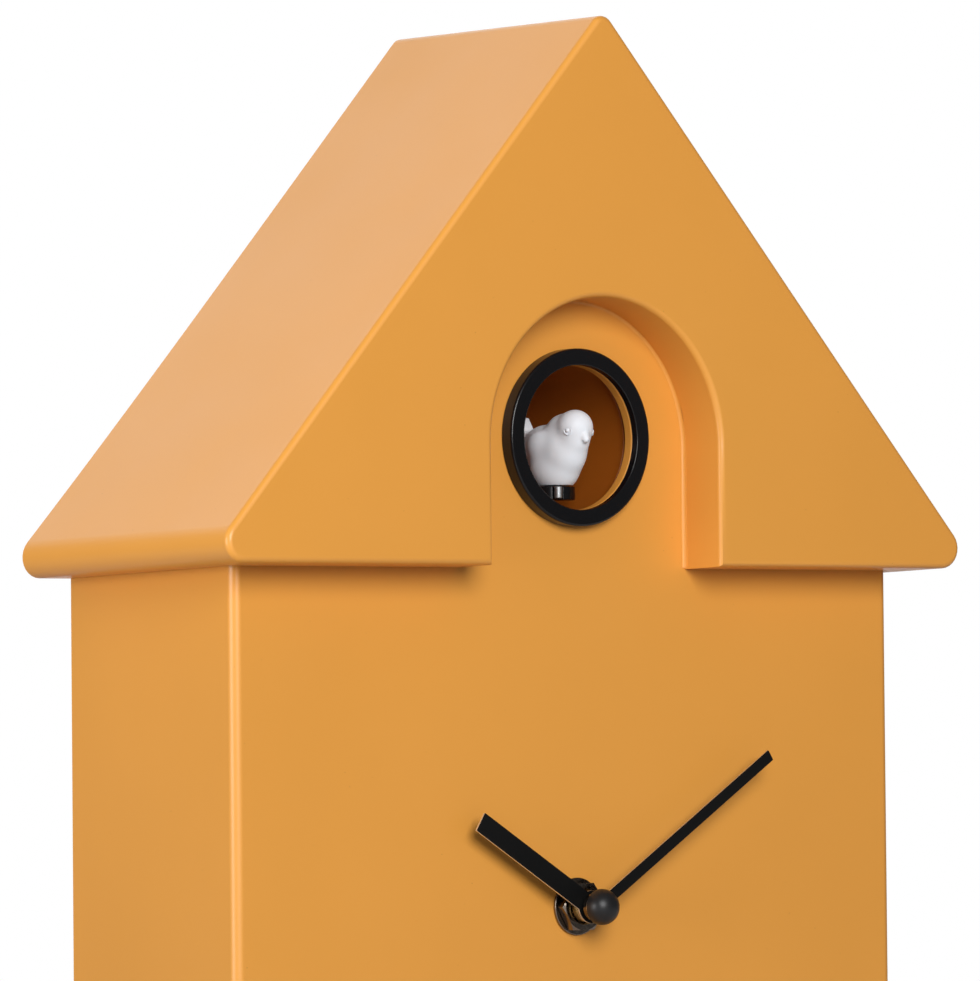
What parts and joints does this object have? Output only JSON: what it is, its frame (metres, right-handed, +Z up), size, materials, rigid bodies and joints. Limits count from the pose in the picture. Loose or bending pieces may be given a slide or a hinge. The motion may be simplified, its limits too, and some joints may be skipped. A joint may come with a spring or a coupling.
{
  "type": "cuckoo clock",
  "caption": "House-shaped cuckoo clock with a gabled roof shell, round bird window with a sliding bird, bar hands and a quartz movement.",
  "frame": {"origin": "middle of the base, at the underside of the base pads and half way from the gable's front to the back", "axes": "+X across the front to the viewer's right, +Y from the front into the clock, +Z up"},
  "size_m": [0.2468, 0.0856, 0.3184],
  "materials": {
    "shell": "satin moulded ABS, warm yellow-orange",
    "gloss_black": "gloss black moulding",
    "black_plastic": "matt black moulding",
    "bird_white": "matt white moulding",
    "nylon": "natural acetal",
    "steel": "plain steel",
    "nickel": "dark bright nickel plate",
    "brass": "turned brass",
    "copper": "enamelled copper wire",
    "hand_black": "black lacquer on aluminium",
    "rubber": "dull black rubber",
    "board": "green solder mask",
    "cell_wrap": "printed foil sleeve with no lettering",
    "cone_paper": "pressed paper cone"
  },
  "bodies": {
    "case": {"back_panel": "shell", "back_screw_1": "steel", "back_screw_2": "steel", "back_screw_3": "steel", "back_screw_4": "steel", "back_screw_5": "steel", "back_screw_6": "steel", "base_pad_left": "rubber", "base_pad_right": "rubber", "battery_tray": "black_plastic", "body_shell": "shell", "cell_contact_minus": "steel", "cell_contact_plus": "steel", "chime_board": "board", "chime_cell_1": "cell_wrap", "chime_cell_2": "cell_wrap", "door_pin": "steel", "drive_coil": "copper", "drive_motor": "steel", "frame_screw_1": "steel", "frame_screw_2": "steel", "gear_axle": "steel", "guide_rail_left": "steel", "guide_rail_right": "steel", "hanger_plate": "steel", "lock_nut": "nickel", "lock_washer": "nickel", "movement_board": "board", "movement_case": "black_plastic", "movement_cell": "cell_wrap", "movement_cover": "black_plastic", "nest_tube": "shell", "roof_shell": "shell", "shaft_bush": "brass", "slide_frame": "black_plastic", "speaker_cone": "cone_paper", "speaker_frame": "steel", "stator": "steel", "train_plate": "nylon", "window_ring": "gloss_black"},
    "bird_carriage": {"bird": "bird_white", "bird_arm": "gloss_black", "foot_pin": "steel", "slide_carriage": "nylon"},
    "reducer": {"reduction_gear": "nylon"},
    "motor_rotor": {"motor_shaft": "brass"},
    "minute_work": {"centre_wheel": "nylon", "minute_hand": "hand_black", "minute_collar": "steel", "hand_cap": "gloss_black"},
    "hour_work": {"hour_wheel": "nylon", "hour_hand": "hand_black"},
    "motion_arbor": {"minute_wheel": "nylon"},
    "third_arbor": {"third_wheel": "nylon"},
    "seconds_arbor": {"seconds_wheel": "nylon"},
    "setter": {"setting_knob": "bird_white"},
    "door": {"service_door": "shell"},
    "switch_slider": {"mode_switch": "black_plastic"},
    "volume_dial": {"volume_knob": "black_plastic"}
  },
  "joints": [
    {"name": "minute_hand_turn", "type": "hinge", "parent": "case", "child": "minute_work", "pos_m": [0, 0, 0.0887], "axis": [0, 1, 0], "continuous": true},
    {"name": "hour_hand_turn", "type": "hinge", "parent": "case", "child": "hour_work", "pos_m": [0, 0, 0.0887], "axis": [0, 1, 0], "continuous": true},
    {"name": "motion_wheel_turn", "type": "hinge", "parent": "case", "child": "motion_arbor", "pos_m": [0.01, 0, 0.0887], "axis": [0, 1, 0], "continuous": true},
    {"name": "third_wheel_turn", "type": "hinge", "parent": "case", "child": "third_arbor", "pos_m": [-0.00883, 0, 0.0836], "axis": [0, 1, 0], "continuous": true},
    {"name": "seconds_wheel_turn", "type": "hinge", "parent": "case", "child": "seconds_arbor", "pos_m": [-0.00415, 0, 0.07549], "axis": [0, 1, 0], "continuous": true},
    {"name": "setting_knob_turn", "type": "hinge", "parent": "case", "child": "setter", "pos_m": [0.01848, 0, 0.094], "axis": [0, 1, 0], "continuous": true},
    {"name": "bird_slide", "type": "slide", "parent": "case", "child": "bird_carriage", "axis": [0, -1, 0], "range_m": [0, 0.022]},
    {"name": "reduction_gear_turn", "type": "hinge", "parent": "case", "child": "reducer", "pos_m": [0, 0.00695, 0.1692], "axis": [1, 0, 0], "range_deg": [-1, 264]},
    {"name": "motor_turn", "type": "hinge", "parent": "case", "child": "motor_rotor", "pos_m": [0, 0.01498, 0.15773], "axis": [1, 0, 0], "range_deg": [-1212, 2]},
    {"name": "door_hinge", "type": "hinge", "parent": "case", "child": "door", "pos_m": [-0.0412, 0.04055, 0.073], "axis": [0, 0, 1], "range_deg": [0, 100]},
    {"name": "mode_switch_slide", "type": "slide", "parent": "case", "child": "switch_slider", "axis": [1, 0, 0], "range_m": [-0.004, 0.004]},
    {"name": "volume_knob_turn", "type": "hinge", "parent": "case", "child": "volume_dial", "pos_m": [-0.072, 0, 0.084], "axis": [0, 1, 0], "range_deg": [-135, 135]}
  ],
  "couplings": [
    {"joint": "hour_hand_turn", "follows": "minute_hand_turn", "ratio": 0.083333},
    {"joint": "motion_wheel_turn", "follows": "minute_hand_turn", "ratio": -0.33333},
    {"joint": "third_wheel_turn", "follows": "minute_hand_turn", "ratio": -7.5},
    {"joint": "seconds_wheel_turn", "follows": "minute_hand_turn", "ratio": 60},
    {"joint": "setting_knob_turn", "follows": "minute_hand_turn", "ratio": 1},
    {"joint": "reduction_gear_turn", "follows": "bird_slide", "rad_per_m": 208.33},
    {"joint": "motor_turn", "follows": "bird_slide", "rad_per_m": -958.33}
  ]
}
